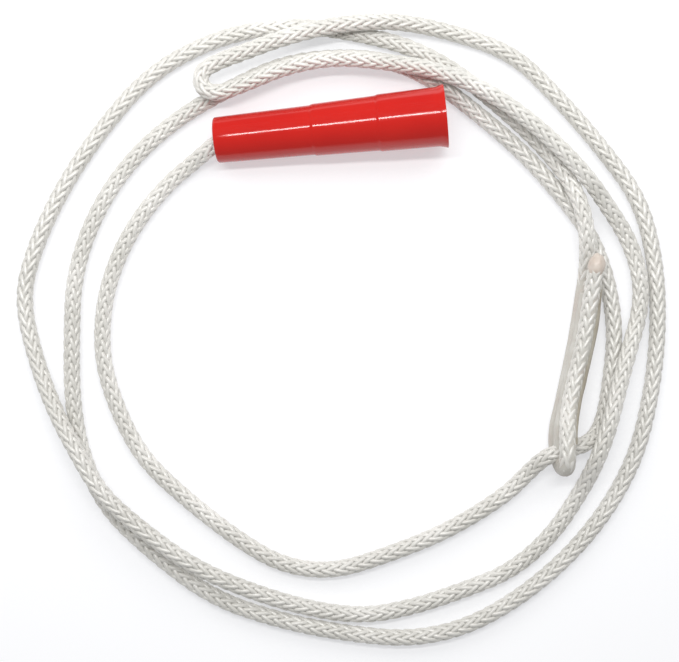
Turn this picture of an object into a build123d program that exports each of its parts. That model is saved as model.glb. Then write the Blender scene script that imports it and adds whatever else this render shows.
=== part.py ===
"""Pull cord: a hollow stepped handle on a knotted braided cord that ends in a small running eye.

Millimetres, +Z up. The assembly lies on the floor z = 0 as a loose three-turn coil.
The origin is under the middle of the handle, whose axis runs along +X and rises to its mouth.
"""

from build123d import *
from math import cos, pi, radians, sin, tan
import os

# ---- driving dimensions ----------------------------------------------------------------
cord_dia = 6.4  # braided cord

handle_length = 85.0
handle_tilt = 3.5  # degrees: the mouth end rests a little higher than the narrow end
narrow_dia = 16.8  # outside, at the cord end
first_step_at = 36.0  # from the narrow end
second_step_at = 60.0
step_height = 0.35  # radial rise at each step
first_taper = 1.4  # gain in diameter from the narrow end to the first step
second_taper = 1.2  # from the first step to the second
third_taper = 0.8  # from the second step to the lip
lip_length = 3.0
lip_taper = 1.8  # gain in diameter over the flared lip
handle_wall = 1.6
end_wall = 2.0
end_round = 0.8
lip_round = 0.4

cord_hole_clearance = 2.1  # radial, round the cord in the end wall
knot_setback = 8.0  # slack between the end wall and the knot
knot_clearance = 0.4  # round the knot in the narrow bore
knot_length = 13.0
knot_tail = 6.0  # cord end standing out of the knot
seal_length = 2.4  # melted dome on a cut end

eye_bond_dia = 6.0  # adhesive fillet between the two legs of the eye

# ---- the cord's route ------------------------------------------------------------------
# x, y and the lift above lying on the floor, in cord diameters, from the handle to the eye
laid_route = [
    # away from the handle and round the inner turn
    (-52.5, -7, 0), (-61.5, -13, 0), (-74, -25, 0), (-84.5, -40.5, 0),
    (-91, -58, 0), (-93, -77.5, 0), (-88.5, -98, 0), (-80.5, -116, 0), (-65.5, -132.5, 0),
    (-48.5, -148.5, 0), (-33, -159.5, 0), (-14.5, -163.5, 0), (6.5, -159, 0),
    (29, -152.5, 0), (51.5, -141.5, 0),
    # up through the eye and down again
    (61.5, -133, 0.16), (68, -127, 1.03), (78.5, -125.5, 1.03), (86.5, -123.5, 0.25),
    # up the right side, under the handle's mouth and round the left side
    (91.5, -115.5, 0), (95, -102, 0), (98.5, -84.5, 0), (97.5, -65, 0), (93, -48.5, 0),
    (86, -36, 0), (71.5, -15.5, 0), (55, 1.5, 0), (41, 14.5, 0), (26.5, 23.5, 0),
    (7, 27.5, 0), (-15.5, 27, 0), (-37.5, 19, 0), (-57, 10, 0), (-76, -4, 0),
    (-91, -23, 0), (-100.5, -44.5, 0), (-103.5, -67.5, 0), (-105.5, -90.5, 0),
    (-104, -111, 0), (-97, -131.5, 0),
    # the outermost stretch along the bottom and up the right side
    (-81.5, -149.5, 0), (-60.5, -169, 0), (-35.5, -180, 0), (-11.5, -187, 0),
    (12.5, -191.5, 0), (36.5, -188, 0), (62.5, -174.5, 0), (84.5, -156, 0),
    (101, -133.5, 0), (109.5, -109.5, 0), (114.5, -85.5, 0), (116, -61, 0),
    (112.5, -36.5, 0), (99.5, -15, 0), (85.5, 4.5, 0), (70.5, 22.5, 0), (48.5, 32.5, 0),
    # over the other strands, back on itself in a tight bight and right again on top
    (28, 38, 0.53), (9, 38, 1.09), (-5, 36.5, 1.06), (-18, 34, 1.06), (-29, 31, 1.03),
    (-39, 28.5, 1.03), (-45.5, 25.5, 1.06), (-46, 19.5, 1.06), (-40.5, 16.5, 1.06),
    (-29.5, 19.5, 1.06), (-13.5, 24.5, 1.06), (4.5, 26, 1.06), (22.5, 22.5, 1.06),
    (40.5, 18, 1.06), (59.5, 8, 1.16), (77, -8, 1.34), (91, -25.5, 1.44),
    # down beside the outer strand, up over the inner one, and along the bottom
    (99.5, -38, 0.5), (106.5, -50.5, 0.09), (109.5, -65, 0.28), (108, -78, 0.28),
    (101.5, -92.5, 0.77), (96.5, -104.5, 1.09), (91.5, -118, 1.31), (86, -130, 1.28),
    (80.5, -141.5, 0.16), (68, -157.5, 0), (51.5, -169.5, 0), (32.5, -175, 0),
    (13, -179.5, 0), (-6.5, -181, 0), (-28.5, -175, 0.12), (-51, -164.5, 0.62),
    # over the outer strand at the lower left, and up the far left side
    (-68, -154, 0.91), (-85, -138.5, 1.03), (-97, -125.5, 1.06), (-105, -108, 1.09),
    (-112, -92, 0.62), (-118, -72, 0), (-120.5, -50.5, 0), (-114, -32.5, 0),
    (-102, -12, 0), (-86, 8, 0), (-65.5, 27.5, 0), (-43, 37.5, 0), (-21.5, 41, 0),
    # under the upper strands, and over the inner one to the eye
    (-3, 39.5, 0), (14.5, 35, 0), (31.5, 29, 0), (47.5, 19, 0), (63.5, 3.5, 0),
    (76.5, -11, 0.06), (84.5, -23.5, 0.5), (88.5, -34, 0.97), (90, -43, 1.09),
    (90, -52.5, 0.98), (89.5, -63, 0.08),
]
# the eye: its standing leg, the fold round the strand that runs through it, and its tail
standing_leg = [(87, -74, 0), (83.5, -87, 0), (79.5, -100, 0), (75, -111.5, 0), (71.5, -121.5, 0)]
eye_turn = [(72.5, -133.5, 0), (73.5, -134, 2.06)]
tail_leg = [(76, -121.5, 2.06), (79, -111, 1.17), (82.5, -98.5, 0.97), (86.5, -85.5, 1),
            (89, -72.5, 1.16), (91.5, -61, 1.56)]

# ---- worked out ------------------------------------------------------------------------
os.makedirs("parts", exist_ok=True)
cord_r = cord_dia / 2
first_step_dia = narrow_dia + first_taper  # outside, just before the step
second_step_dia = first_step_dia + 2 * step_height + second_taper
flare_at = handle_length - lip_length
flare_dia = second_step_dia + 2 * step_height + third_taper
lip_dia = flare_dia + lip_taper
tilt = radians(handle_tilt)
handle_dir = Vector(cos(tilt), 0, sin(tilt))
# the handle touches the floor with the rounded rim of its narrow end, centred on the origin
handle_end = Vector(
    -(handle_length * cos(tilt) + (lip_dia - narrow_dia) / 2 * sin(tilt)) / 2,
    0,
    (narrow_dia / 2 - end_round) * cos(tilt) + end_round * (1 - sin(tilt)),
)
handle_axis = Axis(handle_end, handle_dir)
# local x runs along the handle's axis from its narrow end, local y is the radius
handle_section = Plane(origin=handle_end, x_dir=handle_dir, z_dir=(0, -1, 0))
cord_hole_r = cord_r + cord_hole_clearance
knot_at = end_wall + knot_setback
knot_r = narrow_dia / 2 - handle_wall - knot_clearance
knot_round = 0.7 * (knot_r - cord_r)


def bore_r(outside_dia):
    return outside_dia / 2 - handle_wall


# ---- handle: one moulded tube, stepped outside and in, closed but for the cord hole ------
with BuildPart() as handle:
    with BuildSketch(handle_section):
        with BuildLine():
            Polyline(
                (0, cord_hole_r),
                (0, narrow_dia / 2),
                (first_step_at, first_step_dia / 2),
                (first_step_at, first_step_dia / 2 + step_height),
                (second_step_at, second_step_dia / 2),
                (second_step_at, second_step_dia / 2 + step_height),
                (flare_at, flare_dia / 2),
                (handle_length, lip_dia / 2),
                (handle_length, bore_r(lip_dia)),
                (flare_at, bore_r(flare_dia)),
                (second_step_at, bore_r(second_step_dia) + step_height),
                (second_step_at, bore_r(second_step_dia)),
                (first_step_at, bore_r(first_step_dia) + step_height),
                (first_step_at, bore_r(first_step_dia)),
                (end_wall, bore_r(narrow_dia)),
                (end_wall, cord_hole_r),
                close=True,
            )
        make_face()
    revolve(axis=handle_axis)
    rims = handle.edges().filter_by(GeomType.CIRCLE).group_by(handle_axis)
    fillet(rims[0].sort_by(SortBy.RADIUS)[-1], end_round)
    fillet(rims[-1], lip_round)
handle.part.label = "handle"
export_step(handle.part, "parts/handle.step")

# ---- stopper knot: the cord's own knot, inside the narrow end, with its short tail -------
knot_end = knot_at + knot_length
with BuildPart() as stopper_knot:
    with BuildSketch(handle_section):
        with BuildLine():
            Polyline((knot_at, 0), (knot_at, knot_r), (knot_end, knot_r), (knot_end, cord_r),
                     (knot_end + knot_tail, cord_r), (knot_end + knot_tail, 0), close=True)
        make_face()
    revolve(axis=handle_axis)
    widest = stopper_knot.edges().filter_by(GeomType.CIRCLE).group_by(SortBy.RADIUS)[-1]
    fillet(widest, knot_round)
stopper_knot.part.label = "stopper_knot"
export_step(stopper_knot.part, "parts/stopper_knot.step")


def dome(name, end, direction):
    """A melted end: a low dome as wide as the cord, on a cut face."""
    section = Plane(origin=end, x_dir=direction, z_dir=direction.cross(Vector(0, 0, 1)))
    with BuildPart() as seal:
        with BuildSketch(section):
            with BuildLine():
                Polyline((seal_length, 0), (0, 0), (0, cord_r))
                EllipticalCenterArc((0, 0), seal_length, cord_r, arc_size=90)
            make_face()
        revolve(axis=Axis(end, direction))
    seal.part.label = name
    export_step(seal.part, f"parts/{name}.step")


dome("knot_end_seal", handle_end + handle_dir * (knot_end + knot_tail), handle_dir)

# ---- cord: one round tube of straight runs joined by tangent arcs ------------------------
out_of_handle = [
    handle_end + handle_dir * knot_at,
    handle_end + handle_dir * (end_wall + knot_setback / 2),
    handle_end + handle_dir * (end_wall / 2) + Vector(0, -0.4, -0.1),
    handle_end + Vector(-4, -3.5, -1.7),
]


def laid(points):
    return [Vector(x, y, cord_r + lift * cord_dia) for x, y, lift in points]


cord_line = out_of_handle + laid(laid_route + standing_leg)
line = cord_line + laid(eye_turn + tail_leg)
runs = [(b - a).length for a, b in zip(line, line[1:])]
bends = [0.0]
for i in range(1, len(line) - 1):
    half_turn = radians((line[i] - line[i - 1]).get_angle(line[i + 1] - line[i])) / 2
    bends.append(0.45 * min(runs[i - 1], runs[i]) / tan(half_turn))
print("bend radii", [round(r, 1) for r in bends[1:]])


def tube(name, first, last):
    """The tube from the middle of the run before point first to the middle of the one after last."""
    start = line[0] if first == 1 else (line[first - 1] + line[first]) / 2
    end = line[-1] if last == len(line) - 2 else (line[last] + line[last + 1]) / 2
    with BuildPart() as piece:
        with BuildLine() as path:
            FilletPolyline([start] + line[first:last + 1] + [end], radius=bends[first:last + 1])
        with BuildSketch(Plane(origin=path.line @ 0, z_dir=path.line % 0)):
            Circle(cord_r)
        sweep(path=path.line)
    length = sum(edge.length for edge in path.edges())
    print(name, "length", round(length, 1), "volume / (section x length)",
          round(piece.part.volume / (pi * cord_r**2 * length), 4))
    piece.part.label = name
    export_step(piece.part, f"parts/{name}.step")


fold_first = len(cord_line)
fold_last = fold_first + len(eye_turn) - 1
tube("cord", 1, fold_first - 1)
tube("eye_fold", fold_first, fold_last)
tube("eye_tail", fold_last + 1, len(line) - 2)
dome("tail_end_seal", line[-1], (line[-1] - line[-2]).normalized())

# ---- eye bond: the adhesive that fills the groove between the eye's two legs -------------
legs = zip(laid(standing_leg[:4]), reversed(laid(tail_leg[1:5])))
bond_line = [(standing + tail) / 2 for standing, tail in legs]
with BuildPart() as eye_bond:
    with BuildLine() as bond_path:
        FilletPolyline(bond_line, radius=4 * eye_bond_dia)
    with BuildSketch(Plane(origin=bond_path.line @ 0, z_dir=bond_path.line % 0)):
        Circle(eye_bond_dia / 2)
    sweep(path=bond_path.line)
eye_bond.part.label = "eye_bond"
export_step(eye_bond.part, "parts/eye_bond.step")
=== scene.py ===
import bpy
import math
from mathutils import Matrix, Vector, noise


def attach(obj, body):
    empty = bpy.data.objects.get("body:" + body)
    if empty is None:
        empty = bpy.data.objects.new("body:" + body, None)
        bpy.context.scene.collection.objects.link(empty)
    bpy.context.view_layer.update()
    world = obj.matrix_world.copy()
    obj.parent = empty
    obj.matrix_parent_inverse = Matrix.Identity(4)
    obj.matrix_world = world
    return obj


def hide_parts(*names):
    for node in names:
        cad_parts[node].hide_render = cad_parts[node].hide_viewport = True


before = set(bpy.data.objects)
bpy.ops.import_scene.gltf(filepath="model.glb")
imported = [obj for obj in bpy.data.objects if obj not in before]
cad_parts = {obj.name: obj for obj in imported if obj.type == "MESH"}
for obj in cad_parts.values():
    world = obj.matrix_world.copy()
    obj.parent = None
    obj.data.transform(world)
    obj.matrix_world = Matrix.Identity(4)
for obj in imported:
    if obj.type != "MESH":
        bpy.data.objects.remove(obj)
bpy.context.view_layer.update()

# ======================================================================================
# The cord: 6.4 mm braided polyester, sixteen flat bundles of filament laid over a soft core,
# half of them winding right and half left, each over two and under two.
# ======================================================================================
CORE_RADIUS = 0.0023
ROUTE = [
    # the knot inside the handle, the hole in its end, and round the inner turn
    (-0.0325, 0, 0.0089), (-0.0365, 0, 0.0087), (-0.0415, -0.0004, 0.0083),
    (-0.0465, -0.0035, 0.0066), (-0.0525, -0.007, 0.0032), (-0.0615, -0.013, 0.0032),
    (-0.074, -0.025, 0.0032), (-0.0845, -0.0405, 0.0032), (-0.091, -0.058, 0.0032),
    (-0.093, -0.0775, 0.0032), (-0.0885, -0.098, 0.0032), (-0.0805, -0.116, 0.0032),
    (-0.0655, -0.1325, 0.0032), (-0.0485, -0.1485, 0.0032), (-0.033, -0.1595, 0.0032),
    (-0.0145, -0.1635, 0.0032), (0.0065, -0.159, 0.0032), (0.029, -0.1525, 0.0032),
    (0.0515, -0.1415, 0.0032),
    # up through the eye and down again
    (0.0615, -0.133, 0.0042), (0.068, -0.127, 0.0098), (0.0785, -0.1255, 0.0098),
    (0.0865, -0.1235, 0.0048),
    # up the right side, under the handle's mouth and round the left side
    (0.0915, -0.1155, 0.0032), (0.095, -0.102, 0.0032), (0.0985, -0.0845, 0.0032),
    (0.0975, -0.065, 0.0032), (0.093, -0.0485, 0.0032), (0.086, -0.036, 0.0032),
    (0.0715, -0.0155, 0.0032), (0.055, 0.0015, 0.0032), (0.041, 0.0145, 0.0032),
    (0.0265, 0.0235, 0.0032), (0.007, 0.0275, 0.0032), (-0.0155, 0.027, 0.0032),
    (-0.0375, 0.019, 0.0032), (-0.057, 0.01, 0.0032), (-0.076, -0.004, 0.0032),
    (-0.091, -0.023, 0.0032), (-0.1005, -0.0445, 0.0032), (-0.1035, -0.0675, 0.0032),
    (-0.1055, -0.0905, 0.0032), (-0.104, -0.111, 0.0032), (-0.097, -0.1315, 0.0032),
    # the outermost stretch along the bottom and up the right side
    (-0.0815, -0.1495, 0.0032), (-0.0605, -0.169, 0.0032), (-0.0355, -0.18, 0.0032),
    (-0.0115, -0.187, 0.0032), (0.0125, -0.1915, 0.0032), (0.0365, -0.188, 0.0032),
    (0.0625, -0.1745, 0.0032), (0.0845, -0.156, 0.0032), (0.101, -0.1335, 0.0032),
    (0.1095, -0.1095, 0.0032), (0.1145, -0.0855, 0.0032), (0.116, -0.061, 0.0032),
    (0.1125, -0.0365, 0.0032), (0.0995, -0.015, 0.0032), (0.0855, 0.0045, 0.0032),
    (0.0705, 0.0225, 0.0032), (0.0485, 0.0325, 0.0032),
    # over the other strands, back on itself in a tight bight and right again on top
    (0.028, 0.038, 0.0066), (0.009, 0.038, 0.0102), (-0.005, 0.0365, 0.01), (-0.018, 0.034, 0.01),
    (-0.029, 0.031, 0.0098), (-0.039, 0.0285, 0.0098), (-0.0455, 0.0255, 0.01),
    (-0.046, 0.0195, 0.01), (-0.0405, 0.0165, 0.01), (-0.0295, 0.0195, 0.01),
    (-0.0135, 0.0245, 0.01), (0.0045, 0.026, 0.01), (0.0225, 0.0225, 0.01), (0.0405, 0.018, 0.01),
    (0.0595, 0.008, 0.0106), (0.077, -0.008, 0.0118), (0.091, -0.0255, 0.0124),
    # down beside the outer strand, up over the inner one, and along the bottom
    (0.0995, -0.038, 0.0064), (0.1065, -0.0505, 0.0038), (0.1095, -0.065, 0.005),
    (0.108, -0.078, 0.005), (0.1015, -0.0925, 0.0081), (0.0965, -0.1045, 0.0102),
    (0.0915, -0.118, 0.0116), (0.086, -0.13, 0.0114), (0.0805, -0.1415, 0.0042),
    (0.068, -0.1575, 0.0032), (0.0515, -0.1695, 0.0032), (0.0325, -0.175, 0.0032),
    (0.013, -0.1795, 0.0032), (-0.0065, -0.181, 0.0032), (-0.0285, -0.175, 0.004),
    (-0.051, -0.1645, 0.0072),
    # over the outer strand at the lower left, and up the far left side
    (-0.068, -0.154, 0.009), (-0.085, -0.1385, 0.0098), (-0.097, -0.1255, 0.01),
    (-0.105, -0.108, 0.0102), (-0.112, -0.092, 0.0072), (-0.118, -0.072, 0.0032),
    (-0.1205, -0.0505, 0.0032), (-0.114, -0.0325, 0.0032), (-0.102, -0.012, 0.0032),
    (-0.086, 0.008, 0.0032), (-0.0655, 0.0275, 0.0032), (-0.043, 0.0375, 0.0032),
    (-0.0215, 0.041, 0.0032),
    # under the upper strands, and over the inner one to the eye
    (-0.003, 0.0395, 0.0032), (0.0145, 0.035, 0.0032), (0.0315, 0.029, 0.0032),
    (0.0475, 0.019, 0.0032), (0.0635, 0.0035, 0.0032), (0.0765, -0.011, 0.0036),
    (0.0845, -0.0235, 0.0064), (0.0885, -0.034, 0.0094), (0.09, -0.043, 0.0102),
    (0.09, -0.0525, 0.0095), (0.0895, -0.063, 0.0037),
    # the eye's standing leg, its fold and its tail
    (0.087, -0.074, 0.0032), (0.0835, -0.087, 0.0032), (0.0795, -0.1, 0.0032),
    (0.0759, -0.111, 0.0032), (0.0727, -0.1205, 0.0032), (0.073, -0.132, 0.0032),
    (0.0738, -0.1325, 0.0164), (0.0747, -0.1205, 0.0164), (0.0771, -0.1105, 0.0107),
    (0.0813, -0.0985, 0.0096), (0.0857, -0.0855, 0.0096), (0.0888, -0.0725, 0.0106),
    (0.0915, -0.061, 0.0132),
]


def hex_colour(code):
    """An sRGB hex code as linear red, green, blue and alpha."""
    channels = [int(code[i : i + 2], 16) / 255 for i in (0, 2, 4)]
    linear = [c / 12.92 if c <= 0.04045 else ((c + 0.055) / 1.055) ** 2.4 for c in channels]
    return (*linear, 1)


def add_node(tree, kind, settings=None, **links):
    """A shader node; settings are its own properties, links its sockets' values or sources."""
    node = tree.nodes.new(kind)
    for name, value in (settings or {}).items():
        setattr(node, name, value)
    for name, value in links.items():
        key = int(name[1:]) if name[1:].isdigit() else name.replace("_", " ")
        socket = node.inputs[key]
        if isinstance(value, bpy.types.NodeSocket):
            tree.links.new(value, socket)
        else:
            socket.default_value = value
    return node


def new_material(name):
    """An empty material with a principled shader; gives back the material, its tree and the shader."""
    material = bpy.data.materials.new(name)
    material.use_nodes = True
    tree = material.node_tree
    tree.nodes.clear()
    shader = add_node(tree, "ShaderNodeBsdfPrincipled")
    output = add_node(tree, "ShaderNodeOutputMaterial", Surface=shader.outputs["BSDF"])
    output.is_active_output = True
    return material, tree, shader


def colours(tree, source, stops):
    """A colour ramp on a factor; stops are (position, hex code)."""
    ramp = add_node(tree, "ShaderNodeValToRGB", Fac=source)
    ramp.color_ramp.elements[0].position = stops[0][0]
    ramp.color_ramp.elements[0].color = hex_colour(stops[0][1])
    ramp.color_ramp.elements[1].position = stops[-1][0]
    ramp.color_ramp.elements[1].color = hex_colour(stops[-1][1])
    for position, code in stops[1:-1]:
        ramp.color_ramp.elements.new(position).color = hex_colour(code)
    return ramp.outputs["Color"]


def route_curve(name, points):
    """One smooth open curve that follows the points."""
    curve = bpy.data.curves.new(name, "CURVE")
    curve.dimensions = "3D"
    spline = curve.splines.new("NURBS")
    spline.points.add(len(points) - 1)
    for point, place in zip(spline.points, points):
        point.co = (*place, 1)
    spline.order_u = 3
    spline.use_endpoint_u = True
    return curve


def line_of(curve, step):
    """Points step apart down the middle of a curve, and the length between them."""
    bare = bpy.data.objects.new("bare", curve.copy())
    bare.data.bevel_depth = 0
    bare.data.resolution_u = 24
    mesh = bpy.data.meshes.new_from_object(bare)
    rough = [v.co.copy() for v in mesh.vertices]
    bpy.data.meshes.remove(mesh)
    bpy.data.curves.remove(bare.data)
    along = [0.0]
    for a, b in zip(rough, rough[1:]):
        along.append(along[-1] + (b - a).length)
    count = max(2, round(along[-1] / step)) + 1
    line, j = [], 0
    for i in range(count):
        want = along[-1] * i / (count - 1)
        while j < len(along) - 2 and along[j + 1] < want:
            j += 1
        share = (want - along[j]) / max(along[j + 1] - along[j], 1e-12)
        line.append(rough[j].lerp(rough[j + 1], min(1, share)))
    return line, along[-1] / (count - 1)


def frames_along(line, level=True):
    """The ahead, side and up of the line at each of its points, with a level side where it can be."""
    found, side = [], Vector((0, 0, 0))
    for i, point in enumerate(line):
        ahead = (line[min(i + 1, len(line) - 1)] - line[max(i - 1, 0)]).normalized()
        if i == 0:
            side = ahead.cross(Vector((0, 0, 1)))
        side = side - ahead * side.dot(ahead)
        if level and abs(ahead.z) < 0.7:  # a steep stretch only carries its side along
            side.z = 0
            side = side - ahead * side.dot(ahead)
        side.normalize()
        found.append((ahead, side, side.cross(ahead)))
    return found


CARRIERS = 8  # bundles wound each way
FLOATS_PER_TURN = 4  # a bundle comes to the top this often in one turn
LAY_LENGTH = 0.037  # one full turn of a bundle along the cord
BUNDLE_PATH_RADIUS = 0.00230
BUNDLE_LIFT = 0.00033  # how far a bundle rises and dips as it goes over and under
LIFT_SHARPNESS = 2.5  # how quickly it changes from under to over
BUNDLE_HALF_WIDTH = 0.00098
BUNDLE_HALF_THICKNESS = 0.00060
STEPS_PER_LAY = 34
# a bundle's section, as shares of its half width and thickness: a ridge with sloping sides
SECTION = [(1, 0), (0.58, 0.55), (0.22, 0.93), (0, 1), (-0.22, 0.93), (-0.58, 0.55), (-1, 0), (0, -1)]
FLOAT_DIP = 0.00014  # a float runs almost straight, so its middle lies a little lower
MAP_UNITS_PER_METRE = 40  # along a bundle, one unit of its map is 25 mm


def wander(along):
    """How far the braid has turned about the cord's axis: small, slow and uneven."""
    slow = noise.noise(Vector((along * 9, 3.1, 0)))  # over about 110 mm
    quick = noise.noise(Vector((along * 31, 8.7, 0)))  # over about 30 mm
    return math.radians(16) * slow + math.radians(7) * quick


def lay_mesh(name, line, frames, step, handed, carriers):
    """Bundles that wind one way round the cord; handed is 1 for a right lay and -1 for a left."""
    mesh = bpy.data.meshes.new(name)
    points, faces, places = [], [], []
    ring = len(SECTION)
    # the two lays cross in the middle of each float
    first_turn = math.pi / CARRIERS if handed > 0 else 0
    for carrier in carriers:
        first = len(points)
        start = 2 * math.pi * carrier / CARRIERS
        centres, outs = [], []
        for i, middle in enumerate(line):
            along = i * step
            ahead, side, up = frames[i]
            turn = handed * (2 * math.pi * along / LAY_LENGTH + start) + first_turn
            wave = handed * math.sin(FLOATS_PER_TURN * turn)
            lift = BUNDLE_LIFT * math.tanh(LIFT_SHARPNESS * wave) - FLOAT_DIP * max(0, wave) ** 2
            place = turn + wander(along)
            out = side * math.cos(place) + up * math.sin(place)
            outs.append(out)
            centres.append(middle + out * (BUNDLE_PATH_RADIUS + lift))
        for i, centre in enumerate(centres):
            run = (centres[min(i + 1, len(centres) - 1)] - centres[max(i - 1, 0)]).normalized()
            across = run.cross(outs[i]).normalized()
            crown = across.cross(run)
            for wide, high in SECTION:
                sideways = across * (wide * BUNDLE_HALF_WIDTH)
                points.append(centre + sideways + crown * (high * BUNDLE_HALF_THICKNESS))
            if i:
                base = first + (i - 1) * ring
                for k in range(ring):
                    after = (k + 1) % ring
                    faces.append((base + k, base + after, base + ring + after, base + ring + k))
                    for row, column in ((i - 1, k), (i - 1, k + 1), (i, k + 1), (i, k)):
                        places.append((row * step * MAP_UNITS_PER_METRE, column / ring))
        last = first + (len(line) - 1) * ring
        faces.append(tuple(first + k for k in reversed(range(ring))))
        faces.append(tuple(last + k for k in range(ring)))
        places += [(0, 0)] * (2 * ring)
    mesh.from_pydata(points, [], faces)
    layer = mesh.uv_layers.new(name="bundle")
    for corner, place in zip(layer.data, places):
        corner.uv = place
    mesh.shade_smooth()
    piece = bpy.data.objects.new(name, mesh)
    bpy.context.scene.collection.objects.link(piece)
    return piece


def polyester_filament():
    """White polyester multifilament: near-white, silky, with fine threads that catch the light."""
    material, tree, shader = new_material("polyester_filament")
    place = add_node(tree, "ShaderNodeUVMap", {"uv_map": "bundle"})
    # about fourteen threads on the upper side of a bundle, each some 4 mm long and 0.15 mm wide:
    # coarser than real filament, which is too fine to show
    stretched = add_node(tree, "ShaderNodeMapping", Vector=place.outputs["UV"], Scale=(6, 28, 1))
    threads = add_node(
        tree, "ShaderNodeTexNoise", {"noise_dimensions": "2D"},
        Vector=stretched.outputs["Vector"], Scale=1.0, Detail=2.0, Roughness=0.6,
    )
    where = add_node(tree, "ShaderNodeTexCoord")
    # the whole cord is slightly patchy, over about 17 mm
    patches = add_node(
        tree, "ShaderNodeTexNoise", Vector=where.outputs["Object"], Scale=60.0, Detail=2.0,
    )
    blend = add_node(
        tree, "ShaderNodeMath", {"operation": "MULTIPLY_ADD"},
        _0=threads.outputs["Fac"], _1=0.5, _2=patches.outputs["Fac"],
    )
    tint = colours(tree, blend.outputs["Value"], [(0.4, "C9C7C0"), (0.75, "D5D3CD"), (1.1, "E1DFDA")])
    bump = add_node(
        tree, "ShaderNodeBump", Height=threads.outputs["Fac"], Strength=0.2, Distance=0.0002,
    )
    tree.links.new(tint, shader.inputs["Base Color"])
    tree.links.new(bump.outputs["Normal"], shader.inputs["Normal"])
    shader.inputs["Roughness"].default_value = 0.33
    shader.inputs["IOR"].default_value = 1.58
    shader.inputs["Specular IOR Level"].default_value = 1.0
    shader.inputs["Sheen Weight"].default_value = 0.15
    return material


def core_yarn_with_painted_gap_shade():
    """The cord's core yarns, which show only between the bundles; their colour is darker than the
    bundles' as painted shade in those gaps.
    """
    material, tree, shader = new_material("polyester_core_painted_gap_shade")
    where = add_node(tree, "ShaderNodeTexCoord")
    # yarns about 1 mm apart
    fibres = add_node(
        tree, "ShaderNodeTexNoise", Vector=where.outputs["Object"], Scale=900.0, Detail=3.0,
    )
    # greyer than the bundles: painted shade in the gaps between them
    tint = colours(tree, fibres.outputs["Fac"], [(0.3, "A9A69C"), (0.7, "C6C3B9")])
    tree.links.new(tint, shader.inputs["Base Color"])
    shader.inputs["Roughness"].default_value = 0.8
    return material


core_curve = route_curve("cord_core", ROUTE)
core_curve.resolution_u = 12
core_curve.bevel_mode = "ROUND"
core_curve.bevel_depth = CORE_RADIUS
core_curve.bevel_resolution = 3
core_curve.use_fill_caps = True
core = bpy.data.objects.new("cord_core", core_curve)
bpy.context.scene.collection.objects.link(core)
core_curve.materials.append(core_yarn_with_painted_gap_shade())

braid_line, braid_step = line_of(core_curve, LAY_LENGTH / STEPS_PER_LAY)
braid_frames = frames_along(braid_line)
filament = polyester_filament()
lays = []
for name, handed, carriers in (
    ("braid_right_lay_a", 1, range(0, 4)),
    ("braid_right_lay_b", 1, range(4, 8)),
    ("braid_left_lay_a", -1, range(0, 4)),
    ("braid_left_lay_b", -1, range(4, 8)),
):
    lay = lay_mesh(name, braid_line, braid_frames, braid_step, handed, carriers)
    lay.data.materials.append(filament)
    lays.append(lay)
for piece in [core] + lays:
    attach(piece, "cord")
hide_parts("cord", "eye_fold", "eye_tail")

# ======================================================================================
# The eye: the cord's far end folded back on itself and glued with clear adhesive, which has
# soaked the standing leg and the fold smooth, left the braid of the tail showing, and run out
# in a bead beside it, whose darker colour is painted shade on the tail's outer side. The tail's end is
# melted so that it can't fray.
# ======================================================================================
SOAK_START, SOAK_FULL = 2.179, 2.192  # metres along the cord
FOLD_START, FOLD_END, TAIL_END = 2.250, 2.272, 2.338
LEGS_MEET_AT = 4.524  # a place on one leg and the place beside it on the other add up to this
SKIN_RADIUS = 0.0033
SKIN_THINNING = 0.0007  # less of it where the soaked part starts
FOLD_THINNING, FOLD_THINS_OVER = 0.0008, 0.005  # and where the fold turns into the tail
TAIL_SKIN_RADIUS = 0.0028
TAIL_SKIN_OFFSET = Vector((0.0003, 0, 0))
GROOVE_RADIUS, GROOVE_SWELL, GROOVE_SWELLS_OVER = 0.0031, 0.0004, 0.023
GROOVE_END = FOLD_START + 0.011  # it fills the groove between the legs up to here
SKIN_OVERLAP = 0.004  # the leg, the fold and the tail run into one another by this
SKIN_VOXEL = 0.00038
BEAD_RADIUS = 0.0016
BEAD_OFFSET = Vector((0.0030, 0, -0.0008))  # beside the tail, on its outer side
BEAD_THIN_END = 0.45  # its radius at its ends, as a share
BEAD_SWELLS, BEAD_SHRINKS = 25, 60  # shares of its radius per metre, from each end
TAIL_LUMP_RADIUS, TAIL_LUMP_HALF_LENGTH, TAIL_LUMP_PAST_END = 0.0031, 0.0050, 0.0010


def cord_point(along):
    """The middle of the cord this far along it."""
    return braid_line[min(len(braid_line) - 1, round(along / braid_step))]


def stations(first, last, gap=0.0015):
    """Places a gap apart along the cord."""
    count = round((last - first) / gap)
    return [first + (last - first) * i / count for i in range(count + 1)]


def uneven(along, salt, size):
    """A slow unevenness of the adhesive's thickness along the cord."""
    return size * noise.noise(Vector((along * 130, salt, 0)))


def soft_rod(name, points, radii):
    """A round rod through the points with its own radius at each."""
    curve = route_curve(name, points)
    for point, radius in zip(curve.splines[0].points, radii):
        point.radius = radius
    curve.resolution_u = 3
    curve.bevel_depth = 1.0
    curve.bevel_resolution = 4
    curve.use_fill_caps = True
    line = bpy.data.objects.new(name + "_line", curve)
    rod = bpy.data.objects.new(name, bpy.data.meshes.new_from_object(line))
    bpy.data.objects.remove(line)
    bpy.data.curves.remove(curve)
    bpy.context.scene.collection.objects.link(rod)
    return rod


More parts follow.
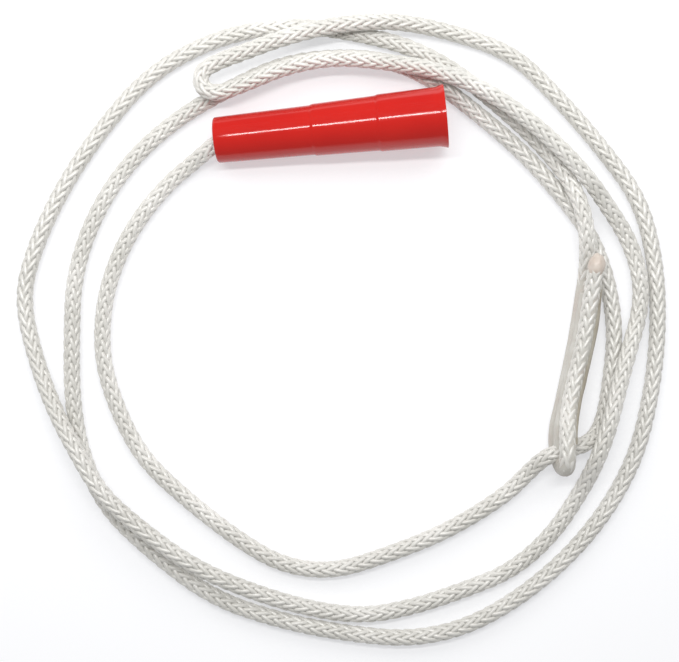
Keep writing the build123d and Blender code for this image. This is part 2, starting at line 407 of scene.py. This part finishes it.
def adhesive(name, stops):
    """Clear adhesive set hard in or beside white polyester: smooth, dull and a little patchy."""
    material, tree, shader = new_material(name)
    where = add_node(tree, "ShaderNodeTexCoord")
    # patches of 5 to 10 mm, where more or less of it was soaked up
    patches = add_node(
        tree, "ShaderNodeTexNoise",
        Vector=where.outputs["Object"], Scale=150.0, Detail=4.0, Roughness=0.6,
    )
    tint = colours(tree, patches.outputs["Fac"], stops)
    # dimples about 1.4 mm apart, where the braid under it shows through as relief
    fine = add_node(tree, "ShaderNodeTexNoise", Vector=where.outputs["Object"], Scale=700.0, Detail=3.0)
    bump = add_node(tree, "ShaderNodeBump", Height=fine.outputs["Fac"], Strength=0.3, Distance=0.0003)
    tree.links.new(tint, shader.inputs["Base Color"])
    tree.links.new(bump.outputs["Normal"], shader.inputs["Normal"])
    shader.inputs["Roughness"].default_value = 0.42
    shader.inputs["IOR"].default_value = 1.5
    return material


def melted_polyester():
    """Braid end melted with a flame: a smooth lump, brownish pink where it scorched."""
    material, tree, shader = new_material("melted_polyester")
    where = add_node(tree, "ShaderNodeTexCoord")
    # scorched patches about 4 mm across
    scorch = add_node(
        tree, "ShaderNodeTexNoise", Vector=where.outputs["Object"], Scale=260.0, Detail=3.0,
    )
    tint = colours(tree, scorch.outputs["Fac"], [(0.35, "C6B8AC"), (0.6, "CEC4BA"), (0.75, "D5CEC6")])
    tree.links.new(tint, shader.inputs["Base Color"])
    shader.inputs["Roughness"].default_value = 0.35
    shader.inputs["IOR"].default_value = 1.57
    return material


skin_rods = []
leg = stations(SOAK_START, FOLD_START)
skin_rods.append(soft_rod("skin_leg", [cord_point(s) for s in leg], [
    SKIN_RADIUS
    - SKIN_THINNING * max(0, SOAK_FULL - s) / (SOAK_FULL - SOAK_START)
    + uneven(s, 1, 0.00016)
    for s in leg
]))
fold = stations(FOLD_START - SKIN_OVERLAP, FOLD_END)
skin_rods.append(soft_rod("skin_fold", [cord_point(s) for s in fold], [
    SKIN_RADIUS
    - FOLD_THINNING * max(0, s - FOLD_END + FOLD_THINS_OVER) / FOLD_THINS_OVER
    + uneven(s, 2, 0.0002)
    for s in fold
]))
tail = stations(FOLD_END - SKIN_OVERLAP, TAIL_END)
skin_rods.append(soft_rod("skin_tail", [cord_point(s) + TAIL_SKIN_OFFSET for s in tail], [
    TAIL_SKIN_RADIUS + uneven(s, 3, 0.00022) for s in tail
]))
groove = stations(SOAK_FULL, GROOVE_END)
groove_line = [(cord_point(s) + cord_point(LEGS_MEET_AT - s)) / 2 for s in groove]
skin_rods.append(soft_rod("skin_groove", groove_line, [
    GROOVE_RADIUS
    + GROOVE_SWELL * max(0, s - GROOVE_END + GROOVE_SWELLS_OVER) / GROOVE_SWELLS_OVER
    + uneven(s, 4, 0.0002)
    for s in groove
]))
bpy.ops.object.select_all(action="DESELECT")
for rod in skin_rods:
    rod.select_set(True)
bpy.context.view_layer.objects.active = skin_rods[0]
bpy.ops.object.join()
skin = bpy.context.object
skin.name = "eye_adhesive"
remesh = skin.modifiers.new("set", "REMESH")
remesh.mode = "VOXEL"
remesh.voxel_size = SKIN_VOXEL
flow = skin.modifiers.new("flow", "SMOOTH")
flow.factor, flow.iterations = 0.5, 6
for modifier in ("set", "flow"):
    bpy.ops.object.modifier_apply(modifier=modifier)
for vertex in skin.data.vertices:
    vertex.co.z = max(vertex.co.z, 0)  # it set flat on the table
skin.data.shade_smooth()
skin.data.materials.clear()
# pale grey-beige, faintly pink where more of it was soaked up
skin.data.materials.append(
    adhesive("cured_clear_adhesive", [(0.35, "BFB8B0"), (0.5, "C1BEB6"), (0.65, "C8C6BF")])
)
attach(skin, "cord")
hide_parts("eye_bond")

bead_run = stations(FOLD_END + 0.003, TAIL_END - 0.004)
bead = soft_rod("adhesive_bead", [cord_point(s) + BEAD_OFFSET for s in bead_run], [
    BEAD_RADIUS * min(
        1,
        BEAD_THIN_END + BEAD_SWELLS * (s - bead_run[0]),
        BEAD_THIN_END + BEAD_SHRINKS * (bead_run[-1] - s),
    ) + uneven(s, 5, 0.0003)
    for s in bead_run
])
bead.data.shade_smooth()
bead.data.materials.clear()
# the bead's brown-grey, darker than the rest of the adhesive, is painted shade along the tail's outer
# side
bead.data.materials.append(
    adhesive("adhesive_bead_painted_shade", [(0.35, "9E9686"), (0.5, "A8A192"), (0.65, "B3AEA1")])
)
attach(bead, "cord")

tail_way = (braid_line[-1] - braid_line[-4]).normalized()
bpy.ops.object.select_all(action="DESELECT")
bpy.ops.mesh.primitive_uv_sphere_add(segments=40, ring_count=24, radius=1)
lump = bpy.context.object
lump.name = "tail_end_melted"
turn_to_tail = tail_way.to_track_quat("Z", "Y")
lump_size = Vector((TAIL_LUMP_RADIUS, TAIL_LUMP_RADIUS, TAIL_LUMP_HALF_LENGTH))
for vertex in lump.data.vertices:
    rough = 1 + 0.09 * noise.noise(vertex.co * 2.1 + Vector((4, 1, 0)))  # up to 9% uneven
    shaped = vertex.co * lump_size * rough
    vertex.co = braid_line[-1] + tail_way * TAIL_LUMP_PAST_END + turn_to_tail @ shaped
lump.data.shade_smooth()
lump.data.materials.append(melted_polyester())
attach(lump, "cord")
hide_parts("tail_end_seal")

# ======================================================================================
# The stopper knot: an overhand knot pulled hard into the handle's bore, with a short end
# sealed by melting. It is seen only by looking in at the mouth.
# ======================================================================================
KNOT_MIDDLE = Vector((-0.0262, 0, 0.0093))
KNOT_REACH = 0.00112  # a third of the way from the axis to the outermost strand's middle
KNOT_HALF_LENGTH = 0.0034
KNOT_TURNS_FROM, KNOT_TURN_STEP, KNOT_TURN_POINTS = -60, 20, 16  # degrees round the knot
HANDLE_AXIS = Vector((0.998135, 0, 0.061049))  # the handle leans 3.5 degrees on the table


def across_handle(along, turn, out):
    """A point inside the handle: along its axis from the knot's middle, and out from it."""
    level = Vector((0, 1, 0))
    upward = HANDLE_AXIS.cross(level)
    outward = level * math.cos(turn) + upward * math.sin(turn)
    return KNOT_MIDDLE + HANDLE_AXIS * along + outward * out


# in from the handle's end, nearly twice round through itself as a trefoil, and out to the short end
knot_points = [across_handle(-0.0068, 0, 0), across_handle(-0.0052, 0.3, 0.0012)]
for i in range(KNOT_TURN_POINTS):
    t = math.radians(KNOT_TURNS_FROM + i * KNOT_TURN_STEP)
    reach = KNOT_REACH * (2 - math.cos(3 * t))
    knot_points.append(across_handle(-KNOT_HALF_LENGTH * math.sin(3 * t), 2 * t, reach))
knot_points += [
    across_handle(0.006, 0.4, 0.0012), across_handle(0.0085, 0, 0), across_handle(0.0122, 0, 0),
]
knot_curve = route_curve("stopper_knot_core", knot_points)
knot_curve.resolution_u = 12
knot_curve.bevel_depth = CORE_RADIUS
knot_curve.bevel_resolution = 3
knot_curve.use_fill_caps = True
knot_core = bpy.data.objects.new("stopper_knot_core", knot_curve)
bpy.context.scene.collection.objects.link(knot_core)
knot_curve.materials.append(core_curve.materials[0])
knot_line, knot_step = line_of(knot_curve, LAY_LENGTH / STEPS_PER_LAY)
knot_frames = frames_along(knot_line, level=False)
knot_pieces = [knot_core]
for name, handed in (("knot_right_lay", 1), ("knot_left_lay", -1)):
    lay = lay_mesh(name, knot_line, knot_frames, knot_step, handed, range(CARRIERS))
    lay.data.materials.append(filament)
    knot_pieces.append(lay)
for piece in knot_pieces:
    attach(piece, "cord")
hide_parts("stopper_knot")
knot_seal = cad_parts["knot_end_seal"]
knot_seal.data.materials.clear()
knot_seal.data.materials.append(lump.data.materials[0])

# ======================================================================================
# The handle: one glossy red polypropylene moulding, a hollow taper in three drawn steps with
# a flared lip round its mouth and a hole for the cord in its narrow end. It turns on the cord.
# ======================================================================================
HANDLE_END = Vector((-0.042521, 0, 0.008337))  # the middle of its narrow end
HANDLE_SIDES = 160
# along the axis from the narrow end and out from it, in millimetres: outside, lip, then inside
HANDLE_PROFILE = [
    (0, 5.3), (0, 7.6), (0.06, 7.9), (0.24, 8.17), (0.5, 8.34), (0.8, 8.42), (12, 8.64), (24, 8.87),
    (35.2, 9.08), (35.7, 9.13), (36.1, 9.26), (36.5, 9.4), (37, 9.47), (48, 9.75), (59.2, 10.03),
    (59.7, 10.08), (60.1, 10.2), (60.5, 10.34), (61, 10.41), (71, 10.59), (81.4, 10.79),
    (82.1, 10.87), (83.2, 11.16), (84.6, 11.57), (84.86, 11.55), (84.98, 11.42), (85, 11.2),
    (85, 10.55), (84.93, 10.35), (84.7, 10.16), (84.4, 10.05), (82, 9.2), (61, 8.81), (60, 8.8),
    (60, 8.45), (48, 8.15), (36.5, 7.86), (36, 7.85), (36, 7.5), (20, 7.2), (2.3, 6.8), (2, 6.6),
    (2, 5.3), (0, 5.3),
]


def red_moulding():
    """Glossy injection-moulded polypropylene, scuffed a little by use."""
    material, tree, shader = new_material("polypropylene_red_moulded")
    where = add_node(tree, "ShaderNodeTexCoord")
    # colour drifts a little over 20 to 30 mm, as pigment does in a moulding
    drift = add_node(tree, "ShaderNodeTexNoise", Vector=where.outputs["Object"], Scale=40.0, Detail=2.0)
    tint = colours(tree, drift.outputs["Fac"], [(0.3, "B9140D"), (0.7, "C11A10")])
    # rubbing has left fine marks along the handle, each a few tenths of a millimetre wide
    drawn = add_node(tree, "ShaderNodeMapping", Vector=where.outputs["Object"], Scale=(40, 1400, 1400))
    marks = add_node(tree, "ShaderNodeTexNoise", Vector=drawn.outputs["Vector"], Scale=1.0, Detail=3.0)
    worn = add_node(
        tree, "ShaderNodeMapRange", Value=marks.outputs["Fac"],
        From_Min=0.45, From_Max=0.75, To_Min=0.1, To_Max=0.17,
    )
    tree.links.new(tint, shader.inputs["Base Color"])
    tree.links.new(worn.outputs["Result"], shader.inputs["Roughness"])
    shader.inputs["IOR"].default_value = 1.49
    return material


bpy.ops.object.select_all(action="DESELECT")
at, radius = (size / 1000 for size in HANDLE_PROFILE[0])
bpy.ops.mesh.primitive_circle_add(vertices=HANDLE_SIDES, radius=radius, fill_type="NOTHING")
handle = bpy.context.object
handle.name = "handle_moulding"
bpy.ops.object.mode_set(mode="EDIT")
bpy.ops.mesh.select_all(action="SELECT")
for station in HANDLE_PROFILE[1:]:
    next_at, next_radius = (size / 1000 for size in station)
    spread = next_radius / radius
    bpy.ops.mesh.extrude_region_move(TRANSFORM_OT_translate={"value": (0, 0, next_at - at)})
    bpy.ops.transform.resize(value=(spread, spread, 1), center_override=(0, 0, 0))
    at, radius = next_at, next_radius
bpy.ops.mesh.select_all(action="SELECT")
bpy.ops.mesh.remove_doubles(threshold=0.000001)
bpy.ops.mesh.normals_make_consistent(inside=False)
bpy.ops.object.mode_set(mode="OBJECT")
lean = HANDLE_AXIS.to_track_quat("Z", "Y").to_matrix().to_4x4()
lean.translation = HANDLE_END
handle.data.transform(lean)
bpy.ops.object.shade_smooth_by_angle(angle=math.radians(35))
handle.data.materials.append(red_moulding())
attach(handle, "handle")
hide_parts("handle")

# ======================================================================================
# The studio: a matt white laminate table with a long narrow light over the handle, a broad
# one beyond the coil, and soft white light from all round. The camera looks straight down.
# ======================================================================================
CAMERA_HEIGHT = 0.4875
CAMERA_MIDDLE = (-0.00385, -0.07437)
CAMERA_TURN = -5.5  # degrees, because the handle lies a little askew


def white_table():
    """Matt white laminate, lit from within a little so that it shows as a plain white ground."""
    material, tree, shader = new_material("white_laminate")
    shader.inputs["Base Color"].default_value = hex_colour("C4C4C4")
    shader.inputs["Roughness"].default_value = 0.9
    shader.inputs["Specular IOR Level"].default_value = 0.1
    shader.inputs["Emission Color"].default_value = hex_colour("FAFBFF")
    shader.inputs["Emission Strength"].default_value = 0.47
    return material


bpy.ops.object.select_all(action="DESELECT")
bpy.ops.mesh.primitive_plane_add(size=6)
floor = bpy.context.object
floor.name = "table_top"
floor.data.materials.append(white_table())


def area_light(name, place, aim, width, length, power):
    """A white rectangular light of this size in metres and power in watts, hidden from the camera."""
    data = bpy.data.lights.new(name, "AREA")
    data.shape = "RECTANGLE"
    data.size, data.size_y = width, length
    data.energy = power
    lamp = bpy.data.objects.new(name, data)
    lamp.location = place
    lamp.rotation_mode = "QUATERNION"
    lamp.rotation_quaternion = (Vector(aim) - Vector(place)).to_track_quat("-Z", "Y")
    lamp.visible_camera = False
    bpy.context.scene.collection.objects.link(lamp)
    return lamp


# its thin reflection is the bright line along the handle
area_light("strip", (-0.02, 0.09, 0.56), (-0.02, 0, 0), 0.49, 0.04, 1.7)
far_side = area_light("far_side", (0, 0.24, 0.30), (0, 0.05, 0), 1.0, 0.3, 1.8)
far_side.visible_glossy = False  # it only lifts the far side of the coil, and shows in no gloss
world = bpy.data.worlds.new("studio_white")
world.use_nodes = True
world.node_tree.nodes["Background"].inputs["Color"].default_value = hex_colour("FFFFFF")
world.node_tree.nodes["Background"].inputs["Strength"].default_value = 0.38
bpy.context.scene.world = world
bpy.context.scene.view_settings.view_transform = "Standard"

camera_data = bpy.data.cameras.new("camera")
camera_data.lens = 68.9
camera_data.sensor_width = 36
camera = bpy.data.objects.new("camera", camera_data)
camera.location = (*CAMERA_MIDDLE, CAMERA_HEIGHT)
camera.rotation_euler = (0, 0, math.radians(CAMERA_TURN))
bpy.context.scene.collection.objects.link(camera)
bpy.context.scene.camera = camera
